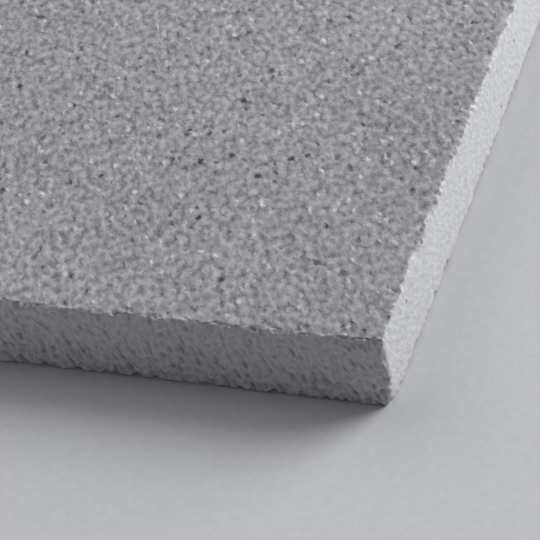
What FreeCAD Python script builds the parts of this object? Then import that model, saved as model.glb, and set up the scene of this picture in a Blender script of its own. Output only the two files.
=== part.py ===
"""Perlite roof insulation board, one whole board of stock lying flat.

The board is pressed from expanded perlite grains and fibre, dried, and trimmed square
to size. It is a single piece: no facing, core or layer is a part of its own.

Units are millimetres. The origin is the centre of the underside. +X runs along the
board's length, +Y across its width, and +Z up through its thickness.
"""

import FreeCAD
import Part

import os

# ---- Driving dimensions ----

# A stock board of 48 by 24 inches, one inch thick.
board_length = 1219.2
board_width = 609.6
board_thickness = 25.4

# The four upright corners are worn round by handling.
corner_radius = 2.0

# The trimmed edges of both faces crumble a little, so they are never sharp.
arris_radius = 0.8


def upright(edge):
    """Whether an edge runs through the board's thickness."""
    low, high = edge.BoundBox.ZMin, edge.BoundBox.ZMax
    return high - low > 0.5 * board_thickness


def around_a_face(edge):
    """Whether an edge lies in the plane of the top face or of the underside."""
    return edge.BoundBox.ZLength < 0.01 * board_thickness


def board_blank():
    """The square-edged board, centred over the origin with its underside at Z = 0."""
    low_corner = FreeCAD.Vector(-board_length / 2, -board_width / 2, 0)
    return Part.makeBox(board_length, board_width, board_thickness, low_corner)


def perlite_board():
    """The board with its corners rounded, and then the rim of each face eased."""
    blank = board_blank()
    corners = [edge for edge in blank.Edges if upright(edge)]
    rounded = blank.makeFillet(corner_radius, corners)
    rims = [edge for edge in rounded.Edges if around_a_face(edge)]
    return rounded.makeFillet(arris_radius, rims)


pieces = {"perlite_board": perlite_board()}

os.makedirs("parts", exist_ok=True)
for node, shape in pieces.items():
    shape.exportStep("parts/" + node + ".step")
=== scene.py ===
"""Perlite roof insulation board: the surface of one whole board, and the stage it lies on.

The board is pressed from expanded perlite grains and fibre. Its two pressed faces are
speckled and pitted, and its four trimmed sides are paler, finer and torn by the cutter.
The file is laid out as an add-on and runs as a script. Lengths are in metres.
"""

import itertools
import math
import random

import bmesh
import bpy
from bpy.props import FloatProperty, FloatVectorProperty, PointerProperty
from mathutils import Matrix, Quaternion, Vector, noise


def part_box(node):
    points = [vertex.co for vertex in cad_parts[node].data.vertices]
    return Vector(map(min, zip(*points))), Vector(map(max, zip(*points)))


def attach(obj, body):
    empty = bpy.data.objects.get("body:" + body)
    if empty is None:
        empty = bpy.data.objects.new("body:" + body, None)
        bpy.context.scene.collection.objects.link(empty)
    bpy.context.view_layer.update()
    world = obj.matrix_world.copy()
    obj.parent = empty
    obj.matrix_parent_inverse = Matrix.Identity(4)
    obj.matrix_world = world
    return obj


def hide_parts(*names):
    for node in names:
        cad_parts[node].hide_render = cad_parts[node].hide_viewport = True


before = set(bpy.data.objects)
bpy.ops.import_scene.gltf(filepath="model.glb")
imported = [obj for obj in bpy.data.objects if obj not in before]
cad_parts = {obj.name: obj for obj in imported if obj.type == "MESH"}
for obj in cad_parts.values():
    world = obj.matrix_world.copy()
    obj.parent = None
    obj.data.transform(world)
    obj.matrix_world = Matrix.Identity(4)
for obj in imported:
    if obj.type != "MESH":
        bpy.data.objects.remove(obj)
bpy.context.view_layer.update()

bl_info = {
    "name": "Perlite Board",
    "version": (1, 0, 0),
    "blender": (4, 5, 0),
    "location": "View3D > Sidebar > Perlite",
    "description": "Adds a perlite roof insulation board and a plain stage",
    "category": "Object",
}

MM = 0.001
NODE = "perlite_board"
LOW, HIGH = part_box(NODE)
MIDDLE = (LOW + HIGH) / 2
HALF = (HIGH - LOW) / 2
THICKNESS = HIGH.z - LOW.z

# The front right corner, where close views look, and how far round it the mesh stays finest.
SHOW_CORNER = Vector((HIGH.x, LOW.y, LOW.z))
SHOW_REACH = 115 * MM

# Where this corner lies in the broad noise that paints shade over the board, in millimetres.
PAINTED_FALLOFF_START = Vector((-1300, 2920, 0))

# Which way the grain of the pressed faces is drawn out, in degrees from the board's length,
# and how far.
GRAIN_TURN = 117
GRAIN_STRETCH = 1.5

# How the cutter's tears lean in a trimmed side: the cosine and the sine of the angle.
LEAN_COS, LEAN_SIN = 0.93, 0.37

# Each kind of wear has a layer of unevenness of its own. Crumbs take two, one after the other.
INWARD_CRUMBS, LEVEL_CRUMBS, TOP_CHIPS, BOTTOM_CHIPS, ROUGHNESS, WANDER = 1, 11, 3, 4, 7, 8


# ---- Sizes and colours ----


def length(name, description, default):
    """A length that a user can change, in metres."""
    return FloatProperty(
        name=name, description=description, default=default, min=0.0,
        precision=5, subtype="DISTANCE", unit="LENGTH",
    )


def colour(name, description, default):
    """A colour that a user can change, as linear light."""
    return FloatVectorProperty(
        name=name, description=description, default=default, min=0.0, max=1.0,
        size=3, subtype="COLOR",
    )


class PerliteBoardSettings(bpy.types.PropertyGroup):
    """Sizes and colours of the board's surface."""

    corner_radius: length("Corner radius", "Rounding of the upright corners", 0.6 * MM)
    arris_radius: length("Arris radius", "Rounding of the rims of both faces", 0.6 * MM)
    crumble_depth: length("Crumble depth", "How far grains are missing along a rim", 0.9 * MM)
    bite_depth: length("Bite depth", "How deep the larger chips in a rim go", 1.3 * MM)
    tear_depth: length("Tear depth", "How deep the cutter's tears in the long sides go", 0.7 * MM)
    knock_depth: length("Knock depth", "How far a knocked corner is pushed in", 1.2 * MM)
    wander: length("Wander", "How far the faces stray from flat", 0.25 * MM)
    grain_size: length("Grain size", "Width of one perlite grain", 1.25 * MM)

    # The dark colour also serves as painted shade in the gaps and pits.
    pressed_dark: colour("Pressed face, dark", "Gaps between the grains", (0.06, 0.061, 0.066))
    pressed_pale: colour("Pressed face, pale", "Grains of a pressed face", (0.60, 0.608, 0.642))
    # The dark end also serves as painted shade in the tears, holes and foot of each side.
    cut_dark: colour("Cut side, dark", "Torn hollows of a trimmed side", (0.34, 0.344, 0.361))
    cut_pale: colour("Cut side, pale", "Trimmed grains", (0.72, 0.728, 0.759))


class PerliteStageSettings(bpy.types.PropertyGroup):
    """The floor, the backdrop and the light."""

    floor_colour: colour("Floor", "Colour of the floor", (0.575, 0.582, 0.608))
    backdrop_colour: colour("Backdrop", "What the camera sees past the floor", (0.5, 0.507, 0.53))
    room_level: FloatProperty(
        name="Room level", description="How brightly the room lights a white surface",
        default=0.152, min=0.0,
    )
    key_level: FloatProperty(
        name="Key level", description="How brightly the lamp lights a white surface facing it",
        default=1.1, min=0.0,
    )
    fill_level: FloatProperty(
        name="Fill level", description="The same, for the lamp over the far side of the board",
        default=0.42, min=0.0,
    )


# ---- The board's shape ----


def lumps(place, size, layer):
    """Smooth unevenness from about -1 to 1, in lumps about this size. Each layer differs."""
    return noise.noise(place / size + Vector((17.3, 7.1, 3.7)) * layer)


def nearness(distance, reach):
    """From 1 at no distance towards 0 past the reach."""
    return math.exp(-distance / reach)


def beyond(value, bar):
    """How far a value passes a bar, from 0 to 1."""
    return max(0.0, value - bar) / (1.0 - bar)


class Spot:
    """A point of the square-edged board, with what its rounding and wear depend on.

    Its gaps are how far it is from the nearest side, face and upright corner. outward is
    the level way out of the board, which turns smoothly round a corner.
    """

    def __init__(self, place, corner_radius):
        offset = place - MIDDLE
        side_x = math.copysign(1.0, offset.x)
        side_y = math.copysign(1.0, offset.y)
        gap_x = HALF.x - abs(offset.x)
        gap_y = HALF.y - abs(offset.y)
        self.place = place
        turn_reach = 2.5 * MM
        near_x = nearness(gap_x, turn_reach)
        near_y = nearness(gap_y, turn_reach)
        self.outward = Vector((side_x * near_x, side_y * near_y, 0)).normalized()
        self.corner_gap = max(gap_x, gap_y)
        self.face_gap = max(0.0, HALF.z - abs(offset.z))
        self.side_gap = max(0.0, min(gap_x, gap_y))
        self.up = math.copysign(1.0, offset.z)
        self.out = Vector((side_x, 0, 0)) if gap_x < gap_y else Vector((0, side_y, 0))
        self.on_end = gap_x < gap_y
        past_x, past_y = corner_radius - gap_x, corner_radius - gap_y
        if past_x > 0 and past_y > 0:
            far = math.hypot(past_x, past_y)
            pull = max(past_x, past_y) / far - 1
            self.place = place + Vector((side_x * past_x, side_y * past_y, 0)) * pull
            self.out = Vector((side_x * past_x, side_y * past_y, 0)) / far

    def rounded(self, radius):
        """The point on the rounded arris, and the way that the surface faces there."""
        past_side = max(0.0, radius - self.side_gap)
        past_face = max(0.0, radius - self.face_gap)
        across = self.out * past_side + Vector((0, 0, self.up * past_face))
        if not across.length:
            return self.place, Vector((0, 0, self.up))
        pull = max(past_side, past_face) / across.length - 1
        return self.place + across * pull, across.normalized()


def crumbs(place, base, layer):
    """How many grains are missing here, from 0."""
    fine = lumps(place, 1.4 * MM, layer)
    coarse = 1.4 * lumps(place, 3.0 * MM, layer + 1)
    return max(0.0, base + fine + coarse)


def rim_wear(spot, sizes):
    """How far a rim is worn in from its side, and how far it is worn in from its face.

    Grains are missing along every rim, and most along the top. Chips are bitten out too:
    into the side at the top, and deeper into the face at the bottom, but little on the ends.
    """
    place = spot.place
    rim_gap = max(spot.side_gap, spot.face_gap)
    edge_gap = min(rim_gap, max(spot.corner_gap, spot.side_gap))
    base = 0.3 if spot.up > 0 else 0.0
    reach = 1.1 * MM
    inward = sizes.crumble_depth * crumbs(place, base, INWARD_CRUMBS) * nearness(edge_gap, reach)
    level = sizes.crumble_depth * crumbs(place, base, LEVEL_CRUMBS) * nearness(rim_gap, reach)
    if spot.up > 0:
        bites = beyond(lumps(place, 3.4 * MM, TOP_CHIPS), 0.1)
        inward += sizes.bite_depth * bites * nearness(edge_gap, 1.8 * MM)
    else:
        share = 0.25 if spot.on_end else 1.0
        bites = beyond(lumps(place, 3.2 * MM, BOTTOM_CHIPS), 0.0) * share
        inward += sizes.bite_depth * bites * nearness(edge_gap, 1.5 * MM)
        level += 2.4 * sizes.bite_depth * bites * nearness(rim_gap, 2.2 * MM)
    return inward, level


def tear_wear(spot, sizes):
    """Short steep tears that the cutter left in a trimmed side, deepest low on the long sides."""
    place = spot.place
    along = place.y if spot.on_end else place.x
    across = (LEAN_COS * along + LEAN_SIN * place.z) / MM
    down = (LEAN_SIN * along - LEAN_COS * place.z) / MM
    low = 1 - (place.z - LOW.z) / THICKNESS

    def uneven(width, drop, layer):
        """Unevenness from about -1 to 1, in lumps that lean, sized in millimetres."""
        return noise.noise(Vector((across / width, down / drop, layer)))

    bend = uneven(6.0, 5.0, 2.0)
    streak = uneven(1.1, 2.6, 5.0)
    swell = uneven(4.0, 7.0, 9.0)
    ridge = math.sin(math.tau * (across / 3.1 + 1.1 * bend))
    grains = noise.noise(place / (1.6 * MM) + Vector((5, 3, 1)))
    gashes = beyond(streak + 0.2 * ridge + 0.3 * swell, 0.2 - 0.12 * low)
    shallow = 0.1 * streak + 0.7 * grains + ridge * (0.15 + 0.4 * swell) + 0.2 * swell - 0.2
    strength = (0.1 if spot.on_end else 1.0) * (0.5 + 0.5 * low)
    return sizes.tear_depth * strength * (1.6 * gashes + shallow)


def knocks(sizes):
    """Where corners were knocked: a place, how far round it, and the push that it got.

    The show corner is knocked in at its foot and its head, and bulges between them. Each
    other corner got a knock at its foot and one at its head, at random.
    """
    deep = sizes.knock_depth
    tip = SHOW_CORNER
    head = Vector((tip.x, tip.y, HIGH.z))
    waist = Vector((tip.x, tip.y, MIDDLE.z))
    found = [
        (tip, 3.0 * MM, Vector((-1.5, 0, 0)) * deep),
        (head, 4.0 * MM, Vector((0.25, 0.7, -0.2)) * deep),
        (waist, 6.0 * MM, Vector((0.75, 0, 0)) * deep),
    ]
    draw = random.Random(7)
    for side_x, side_y, side_z in itertools.product((-1, 1), repeat=3):
        if side_x > 0 > side_y:
            continue
        corner = MIDDLE + Vector((side_x * HALF.x, side_y * HALF.y, side_z * HALF.z))
        inward = Vector((-side_x * draw.random(), -side_y * draw.random(), 0))
        found.append((corner, draw.uniform(2.5, 6.0) * MM, inward * 1.4 * deep))
    return found


def worn(place, sizes, dents):
    """Where a point of the square-edged board lies once it is cut, worn and knocked.

    The second value is how hollow the side is there: above 0 in a tear or a chip low down,
    and below 0 where it stands proud. The third is how much of a rim is chipped off there.
    """
    spot = Spot(place, sizes.corner_radius)
    at, facing = spot.rounded(sizes.arris_radius)
    on_side = 1 - abs(facing.z)
    tear = on_side * tear_wear(spot, sizes)
    bow = sizes.wander * lumps(place, 60 * MM, WANDER)
    stray = bow + 0.08 * MM * lumps(place, 1.1 * MM, ROUGHNESS)
    if spot.up < 0:
        # The underside stays flat, so that the board lies level.
        stray *= on_side
    inward, level = rim_wear(spot, sizes)
    at = at - facing * (tear + stray) - spot.outward * inward - Vector((0, 0, spot.up * level))
    for centre, reach, push in dents:
        gap = (place - centre).length
        # Further off, the push is too small to tell.
        if gap < 5 * reach:
            at += push * math.exp(-(gap / reach) ** 1.5)
    # The hollow value paints shade into the side's colour: darker in tears and low chips, lighter
    # where the side stands proud.
    hollow = tear / sizes.tear_depth
    # Chips low along the foot count extra, to paint a dark line of shade where the side meets the
    # floor.
    if spot.up < 0:
        hollow += 1.5 * on_side * level / sizes.bite_depth
    return at, min(2.0, max(-1.0, hollow)), inward + level


def wanted_length(middle):
    """How long a mesh edge may be here: finest along the rims, and finer near the show corner."""
    spot = Spot(middle, 0.0)
    far = max(0.0, (middle - SHOW_CORNER).length - SHOW_REACH)
    at_rim = min(0.5 * MM + 0.03 * far, 2.2 * MM)
    past_rim = max(0.0, max(spot.side_gap, spot.face_gap) - 0.8 * MM)
    widest = 26 * MM
    if spot.side_gap < 0.1 * MM:
        on_side = (0.9 if spot.on_end else 0.45) * MM
        widest = min(on_side + 0.05 * far, 3.3 * MM)
    return min(at_rim + 0.35 * past_rim, widest)


def runs_along(edge, axis):
    """Whether a mesh edge runs along an axis, numbered from 0."""
    run = edge.verts[1].co - edge.verts[0].co
    return abs(run[axis]) > 0.9 * run.length


def cut_into_squares(mesh):
    """Cuts the block across its length and width, into squares about as wide as it is thick."""
    for axis in (0, 1):
        cuts = round(2 * HALF[axis] / THICKNESS) - 1
        runs = [edge for edge in mesh.edges if runs_along(edge, axis)]
        bmesh.ops.subdivide_edges(mesh, edges=runs, cuts=cuts, use_grid_fill=True)


def cut_finer(mesh, most_rounds=8):
    """Halves the longer edges of each face that is too coarse, round after round."""
    for _ in range(most_rounds):
        coarse = set()
        for face in mesh.faces:
            longest = max(edge.calc_length() for edge in face.edges)
            if longest > wanted_length(face.calc_center_median()):
                coarse.update(edge for edge in face.edges if edge.calc_length() > 0.7 * longest)
        if not coarse:
            break
        bmesh.ops.subdivide_edges(mesh, edges=list(coarse), cuts=1, use_grid_fill=True)


def board_mesh(sizes):
    """The whole board as one closed mesh, cut finest where its surface is roughest."""
    mesh = bmesh.new()
    bmesh.ops.create_cube(mesh, size=1.0)
    bmesh.ops.scale(mesh, vec=HALF * 2, verts=mesh.verts)
    bmesh.ops.translate(mesh, vec=MIDDLE, verts=mesh.verts)
    cut_into_squares(mesh)
    cut_finer(mesh)
    hollow = mesh.verts.layers.float.new("hollow")
    chipped = mesh.verts.layers.float.new("chipped")
    dents = knocks(sizes)
    for vert in mesh.verts:
        vert.co, vert[hollow], vert[chipped] = worn(vert.co.copy(), sizes, dents)
    for face in mesh.faces:
        face.smooth = True
    many_sided = [face for face in mesh.faces if len(face.verts) > 4]
    bmesh.ops.triangulate(mesh, faces=many_sided)
    return mesh


# ---- Shader maths ----


class Signal:
    """A shader socket, combined with numbers and other signals by Python's operators."""

    def __init__(self, finish, socket):
        self.finish = finish
        self.socket = socket

    def other(self, output):
        """Another output of the node that this one comes from."""
        return Signal(self.finish, self.socket.node.outputs[output])

    def maths(self, operation, *values):
        inputs = dict(enumerate(values))
        return self.finish.node("ShaderNodeMath", {"operation": operation}, inputs)

    def __add__(self, other):
        return self.maths("ADD", self, other)

    def __sub__(self, other):
        return self.maths("SUBTRACT", self, other)

    def __rsub__(self, other):
        return self.maths("SUBTRACT", other, self)

    def __mul__(self, other):
        return self.maths("MULTIPLY", self, other)

    def __truediv__(self, other):
        return self.maths("DIVIDE", self, other)

    __radd__ = __add__
    __rmul__ = __mul__

    def __abs__(self):
        return self.maths("ABSOLUTE", self)

    def least(self, other):
        return self.maths("MINIMUM", self, other)

    def most(self, other):
        return self.maths("MAXIMUM", self, other)

    def rise(self, low, high):
        """0 below low, 1 above high, and a smooth rise between them."""
        settings = {"interpolation_type": "SMOOTHSTEP"}
        return self.finish.node(
            "ShaderNodeMapRange", settings, {"Value": self, "From Min": low, "From Max": high}
        )


class Finish:
    """The nodes of a material, or of the room's light, added one by one."""

    def __init__(self, tree):
        self.tree = tree
        self.tree.nodes.clear()

    def node(self, kind, settings, inputs, output=0):
        """Adds a node, sets it, feeds its sockets, and gives one of its outputs."""
        node = self.tree.nodes.new(kind)
        for name, value in settings.items():
            setattr(node, name, value)
        by_name = {socket.identifier: socket for socket in node.inputs}
        for key, value in inputs.items():
            socket = node.inputs[key] if isinstance(key, int) else by_name[key]
            if isinstance(value, Signal):
                self.tree.links.new(value.socket, socket)
            else:
                socket.default_value = value
        return None if output is None else Signal(self, node.outputs[output])

    def vector(self, operation, inputs):
        return self.node("ShaderNodeVectorMath", {"operation": operation}, inputs)

    def place(self):
        """The place on the piece, in millimetres."""
        here = self.node("ShaderNodeTexCoord", {}, {}, "Object")
        return self.vector("SCALE", {0: here, "Scale": 1 / MM})

    def axes(self, place):
        """How far along X, Y and Z a place is."""
        x = self.node("ShaderNodeSeparateXYZ", {}, {0: place}, "X")
        return x, x.other("Y"), x.other("Z")

    def attribute(self, name):
        """A value that the mesh holds at each of its points."""
        return self.node("ShaderNodeAttribute", {"attribute_name": name}, {}, "Fac")

    def noise(self, place, scale, detail=2.0, roughness=0.5):
        """Cloudy noise around 0.5, with this many lumps to a millimetre."""
        inputs = {"Vector": place, "Scale": scale, "Detail": detail, "Roughness": roughness}
        return self.node("ShaderNodeTexNoise", {}, inputs)

    def spots(self, place, scale, bar, width):
        """Scattered spots of uneven size, with this many places for one to a millimetre.

        Only a place drawn above the bar holds a spot, and a higher draw makes it wider.
        """
        distance = self.node("ShaderNodeTexVoronoi", {}, {"Vector": place, "Scale": scale})
        draws = self.node("ShaderNodeSeparateColor", {}, {0: distance.other("Color")}, "Red")
        return ((draws - bar) / (1 - bar) - distance / width).most(0)

    def turned(self, place, angle, stretch=1.0):
        """The same place, for a pattern turned from +X towards +Y and drawn out that way."""
        turn = (0, 0, math.radians(angle))
        inputs = {"Vector": place, "Rotation": turn, "Scale": (stretch, 1, 1)}
        return self.node("ShaderNodeMapping", {"vector_type": "TEXTURE"}, inputs)

    def blend(self, share, first, second):
        """A colour between two colours."""
        inputs = {"Factor_Float": share, "A_Color": first, "B_Color": second}
        return self.node("ShaderNodeMix", {"data_type": "RGBA"}, inputs, "Result")

    def seen(self):
        """1 for what the camera sees, straight or in gloss or glass, and 0 for other light."""
        rays = self.node("ShaderNodeLightPath", {}, {}, "Is Camera Ray")
        return rays.most(rays.other("Is Glossy Ray")).most(rays.other("Is Transmission Ray"))

    def surface(self, shader, kind="ShaderNodeOutputMaterial"):
        self.node(kind, {}, {"Surface": shader}, None)


def new_material(name):
    """An empty material, and the finish that its nodes go in."""
    material = bpy.data.materials.new(name)
    material.use_nodes = True
    return material, Finish(material.node_tree)


def opaque(rgb):
    return (*rgb, 1.0)


# ---- The board's finish ----


def perlite_finish(sizes):
    """Speckled and pitted on the pressed faces, pale and torn on the trimmed sides."""
    material, finish = new_material("perlite")
    place = finish.place()
    x, y, z = finish.axes(place)
    end_gap = HALF.x / MM - abs(x)
    long_gap = HALF.y / MM - abs(y)
    on_end = (long_gap - end_gap).rise(-1, 1)
    side_gap = end_gap.least(long_gap)
    face_gap = z.least(THICKNESS / MM - z)
    pressed = pressed_share(finish, place, side_gap - face_gap, on_end)

    clouds = finish.noise(place, 0.1) - 0.5
    drifts = finish.noise(place, 0.014) - 0.5
    # Pressed faces are painted paler within 3 mm of each rim: painted light along the worn rims.
    painted_rim_light = 1 - side_gap.rise(0, 3)
    pressed_tone, pressed_height = pressed_grain(finish, place, MM / sizes.grain_size)
    pressed_colour = finish.blend(
        pressed_tone + clouds * 0.2 + drifts * 0.08 + painted_rim_light * 0.1,
        opaque(sizes.pressed_dark), opaque(sizes.pressed_pale),
    )
    cut_tone, cut_height = cut_grain(finish, place, 0.75 - on_end * 0.6)
    cut_colour = finish.blend(
        cut_tone + clouds * 0.12, opaque(sizes.cut_dark), opaque(sizes.cut_pale)
    )
    height = cut_height + pressed * (pressed_height - cut_height)
    bump = finish.node(
        "ShaderNodeBump", {}, {"Strength": 1.0, "Distance": MM, "Height": height}
    )
    colours = finish.blend(pressed, cut_colour, pressed_colour)
    # Very broad random tone over the board, laid so that it paints shade on the show corner, darker
    # than the board behind it, as where the light falls off.
    laid = finish.vector("ADD", {0: place, 1: PAINTED_FALLOFF_START - SHOW_CORNER / MM})
    painted_falloff = finish.noise(laid, 0.006, detail=1.0) - 0.5
    colours = finish.vector("SCALE", {0: colours, "Scale": 1.02 + painted_falloff * 0.3})
    shader = finish.node(
        "ShaderNodeBsdfPrincipled",
        {},
        {"Base Color": colours, "Roughness": 0.95, "Specular IOR Level": 0.25, "Normal": bump},
    )
    finish.surface(shader)
    return material


def pressed_share(finish, place, past_rim, on_end):
    """1 on a pressed face and 0 on a trimmed side, with a ragged line along each rim.

    past_rim is how far a point is over the rim, above 0 on a face and below 0 on a side.
    Where a rim is chipped, the trimmed side's colour reaches onto the face.
    """
    fine = finish.noise(place, 0.55, roughness=0.6) - 0.5
    lobes = finish.noise(place, 0.12, detail=1.0) - 0.5
    ragged = fine * (3.0 - on_end * 1.8) + lobes * on_end * 7
    bared = finish.attribute("chipped") / MM * (1.6 - on_end * 1.1)
    return (past_rim - bared + ragged).rise(-0.4, 0.4)


def pressed_grain(finish, place, grain):
    """The tone and height of a pressed face: grey felt, pale grains, dark pits and scratches."""
    clouds = finish.noise(place, 0.8 * grain, roughness=0.6)
    drift = finish.vector("MULTIPLY_ADD", {0: clouds.other("Color"), 1: (2.2, 2.2, 0), 2: place})
    drawn = finish.turned(drift, GRAIN_TURN, GRAIN_STRETCH)
    felt = finish.noise(drawn, 0.64 * grain, roughness=0.45) - 0.5
    pits = finish.spots(drawn, 0.45 * grain, bar=0.6, width=0.45)
    gaps = finish.spots(finish.turned(drawn, -30), 0.6 * grain, bar=0.3, width=0.5)
    pale = finish.spots(finish.turned(drawn, -65), 0.5 * grain, bar=0.4, width=0.5)
    first = finish.spots(finish.turned(drift, 80, 3.3), 0.45 * grain, bar=0.9, width=0.4)
    second = finish.spots(finish.turned(drift, -20, 3.3), 0.45 * grain, bar=0.9, width=0.4)
    scratches = first.most(second)
    # Pits, gaps and scratches sink in and are darker: partly their own tone, partly painted shade
    # in these hollows.
    dark = pits * 0.55 + gaps * 0.25 + scratches * 0.4
    tone = 0.45 + felt * 1.2 - dark + pale * 0.65
    height = felt * 0.3 - dark * 0.9 + pale * 0.4
    return tone, height


def cut_grain(finish, place, torn):
    """The tone and height of a trimmed side: fine felt, with steep gashes where it is torn."""
    x, y, z = finish.axes(place)
    along = x + y
    across = along * LEAN_COS + z * LEAN_SIN
    down = along * LEAN_SIN - z * LEAN_COS
    steep = finish.node("ShaderNodeCombineXYZ", {}, {"X": across, "Y": down * 0.33, "Z": x - y})
    clouds = finish.noise(steep, 0.7)
    drift = finish.vector("MULTIPLY_ADD", {0: clouds.other("Color"), 1: (1.6, 1.6, 0), 2: steep})
    streaks = finish.noise(drift, 0.55, detail=1.0) - 0.5
    flecks = finish.node(
        "ShaderNodeCombineXYZ", {}, {"X": x + (y - z) * 0.24, "Y": (y + z) * 0.7}
    )
    speck = finish.noise(flecks, 0.75, roughness=0.6) - 0.5
    gashes = finish.spots(drift, 0.6, bar=0.4, width=0.6)
    deep = finish.spots(finish.turned(drift, -12), 0.4, bar=0.5, width=0.5)
    # Painted shade from the shape: darker where the mesh is torn or chipped low, lighter where it
    # stands proud.
    hollow = finish.attribute("hollow")
    # Gashes and pinholes sink in, and the long sides are darker all over: partly the torn grain,
    # partly painted shade in the tears and holes.
    dark = gashes * 0.5 + deep * 0.7 - streaks * 0.3
    pinholes = finish.spots(place, 0.09, bar=0.6, width=0.1)
    tone = 0.63 + speck * (1.0 - torn * 0.25) - torn * (dark + 0.2) - hollow * 0.33 - pinholes * 1.5
    height = speck * (0.1 + torn * 0.4) - torn * dark - pinholes
    return tone, height


# ---- The stage ----


def floor_finish(settings):
    """A faintly uneven floor. Well clear of the board, the camera sees it as the backdrop."""
    material, finish = new_material("floor")
    place = finish.place()
    uneven = finish.noise(place, 0.4, roughness=0.6) - 0.5
    colours = finish.vector(
        "SCALE", {0: tuple(settings.floor_colour), "Scale": 1 + uneven * 0.16}
    )
    floor = finish.node(
        "ShaderNodeBsdfPrincipled",
        {},
        {"Base Color": colours, "Roughness": 1.0, "Specular IOR Level": 0.1},
    )
    backdrop = finish.node(
        "ShaderNodeEmission", {}, {"Color": opaque(settings.backdrop_colour), "Strength": 1.0}
    )
    x, y, _ = finish.axes(place)
    clear = (abs(x) - HALF.x / MM).most(abs(y) - HALF.y / MM)
    share = finish.seen() * clear.rise(0.3 * HALF.x / MM, 2 * HALF.x / MM)
    finish.surface(finish.node("ShaderNodeMixShader", {}, {0: share, 1: floor, 2: backdrop}))
    return material


def link(name, data):
    piece = bpy.data.objects.new(name, data)
    bpy.context.scene.collection.objects.link(piece)
    return piece


def add_floor(settings):
    """A wide flat floor at the height of the board's underside."""
    grid = bmesh.new()
    bmesh.ops.create_grid(grid, x_segments=1, y_segments=1, size=20.0)
    bmesh.ops.translate(grid, vec=(0, 0, LOW.z), verts=grid.verts)
    data = bpy.data.meshes.new("floor")
    grid.to_mesh(data)
    grid.free()
    data.materials.append(floor_finish(settings))
    link("floor", data)


def add_room(settings):
    """Even light from all round. The camera sees a pale backdrop in its place."""
    world = bpy.data.worlds.new("room")
    bpy.context.scene.world = world
    world.use_nodes = True
    look = Finish(world.node_tree)
    lit = look.node(
        "ShaderNodeBackground", {}, {"Color": (1, 1, 1, 1), "Strength": settings.room_level}
    )
    backdrop = look.node("ShaderNodeBackground", {}, {"Color": opaque(settings.backdrop_colour)})
    mixed = look.node("ShaderNodeMixShader", {}, {0: look.seen(), 1: lit, 2: backdrop})
    look.surface(mixed, "ShaderNodeOutputWorld")


def direction(azimuth, elevation):
    """The way to a place at this turn from +X towards +Y, and this height, in degrees."""
    turn, rise = math.radians(azimuth), math.radians(elevation)
    level = math.cos(rise)
    return Vector((level * math.cos(turn), level * math.sin(turn), math.sin(rise)))


def add_lamp(name, level, azimuth, elevation, distance, width):
    """A round soft lamp that lights a white surface facing it, at the show corner, to a level."""
    lamp = bpy.data.lights.new(name, "AREA")
    lamp.shape = "DISK"
    lamp.size = width
    lamp.energy = level * (math.pi * distance) ** 2
    towards = direction(azimuth, elevation)
    soft = link(name, lamp)
    soft.location = SHOW_CORNER + towards * distance
    soft.rotation_mode = "QUATERNION"
    soft.rotation_quaternion = (-towards).to_track_quat("-Z", "Y")


def add_camera():
    """A close view down on the show corner, tipped a little to one side."""
    turn, elevation, distance = 26.83, 41.53, 0.7167
    tip = Quaternion((0, 0, 1), math.radians(-12.83))
    aim = SHOW_CORNER + Vector((-52.65, 49.13, 0)) * MM
    # Unturned, the camera would stand in front of the board and look along +Y.
    back = direction(turn - 90, elevation)
    data = bpy.data.cameras.new("camera")
    data.sensor_width = 36.0
    data.lens = 160.0
    data.clip_start = 0.01
    camera = link("camera", data)
    camera.location = aim + back * distance
    camera.rotation_mode = "QUATERNION"
    camera.rotation_quaternion = (-back).to_track_quat("-Z", "Y") @ tip
    bpy.context.scene.camera = camera


# ---- Operators, panel and registration ----


class PERLITE_OT_board(bpy.types.Operator):
    """Add the perlite board in place of its plain solid"""

    bl_idname = "perlite.board"
    bl_label = "Add Board"

    def execute(self, context):
        sizes = context.scene.perlite_board
        mesh = board_mesh(sizes)
        data = bpy.data.meshes.new("board")
        mesh.to_mesh(data)
        mesh.free()
        data.materials.append(perlite_finish(sizes))
        board = link("board", data)
        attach(board, "root")
        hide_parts(NODE)
        return {"FINISHED"}


class PERLITE_OT_stage(bpy.types.Operator):
    """Add the floor, the light and the camera"""

    bl_idname = "perlite.stage"
    bl_label = "Add Stage"

    def execute(self, context):
        settings = context.scene.perlite_stage
        add_floor(settings)
        add_room(settings)
        add_lamp("key", settings.key_level, azimuth=44, elevation=30, distance=5.0, width=3.4)
        add_lamp("fill", settings.fill_level, azimuth=150, elevation=45, distance=6.0, width=6.0)
        add_camera()
        context.scene.view_settings.view_transform = "Standard"
        return {"FINISHED"}


class PERLITE_PT_sidebar(bpy.types.Panel):
    """Lists the board and its stage"""

    bl_idname = "PERLITE_PT_sidebar"
    bl_label = "Perlite Board"
    bl_space_type = "VIEW_3D"
    bl_region_type = "UI"
    bl_category = "Perlite"

    def draw(self, context):
        for operator in OPERATORS:
            self.layout.operator(operator.bl_idname)


OPERATORS = (PERLITE_OT_board, PERLITE_OT_stage)
CLASSES = (PerliteBoardSettings, PerliteStageSettings, *OPERATORS, PERLITE_PT_sidebar)


def register():
    for kind in CLASSES:
        bpy.utils.register_class(kind)
    bpy.types.Scene.perlite_board = PointerProperty(type=PerliteBoardSettings)
    bpy.types.Scene.perlite_stage = PointerProperty(type=PerliteStageSettings)


def unregister():
    del bpy.types.Scene.perlite_stage
    del bpy.types.Scene.perlite_board
    for kind in reversed(CLASSES):
        bpy.utils.unregister_class(kind)


def main():
    register()
    bpy.ops.perlite.board()
    bpy.ops.perlite.stage()


if __name__ == "__main__":
    main()
